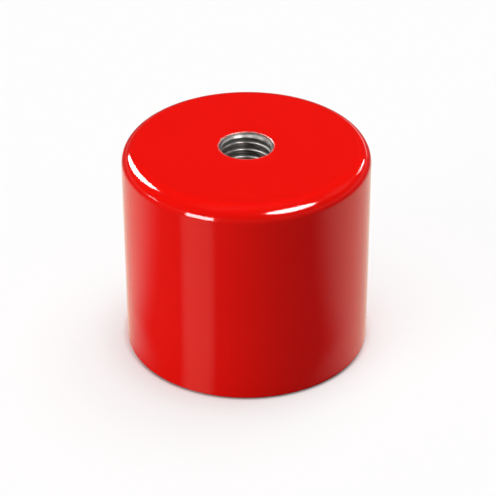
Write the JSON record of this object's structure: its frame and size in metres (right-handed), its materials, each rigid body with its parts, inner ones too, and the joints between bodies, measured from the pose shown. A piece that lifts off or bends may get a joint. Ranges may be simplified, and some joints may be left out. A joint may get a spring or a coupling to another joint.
{
  "type": "pot magnet",
  "caption": "Deep cylindrical pot magnet: painted steel pot with a rounded shoulder, a tapped hole in its back and a magnet core centred in its flat holding face.",
  "frame": {"origin": "centre of the holding face, at the pot's open end", "axes": "+Z along the pot's axis, out of the mouth of the tapped hole"},
  "size_m": [0.045, 0.045, 0.0396],
  "materials": {
    "red_paint": "gloss red lacquer on turned steel",
    "bare_steel": "cut and ground bare steel",
    "magnet_alloy": "cast, with a ground end",
    "brass": "turned, with a ground end"
  },
  "bodies": {
    "root": {"pot": "red_paint", "magnet_core": "magnet_alloy", "centring_ring": "brass"}
  },
  "joints": []
}
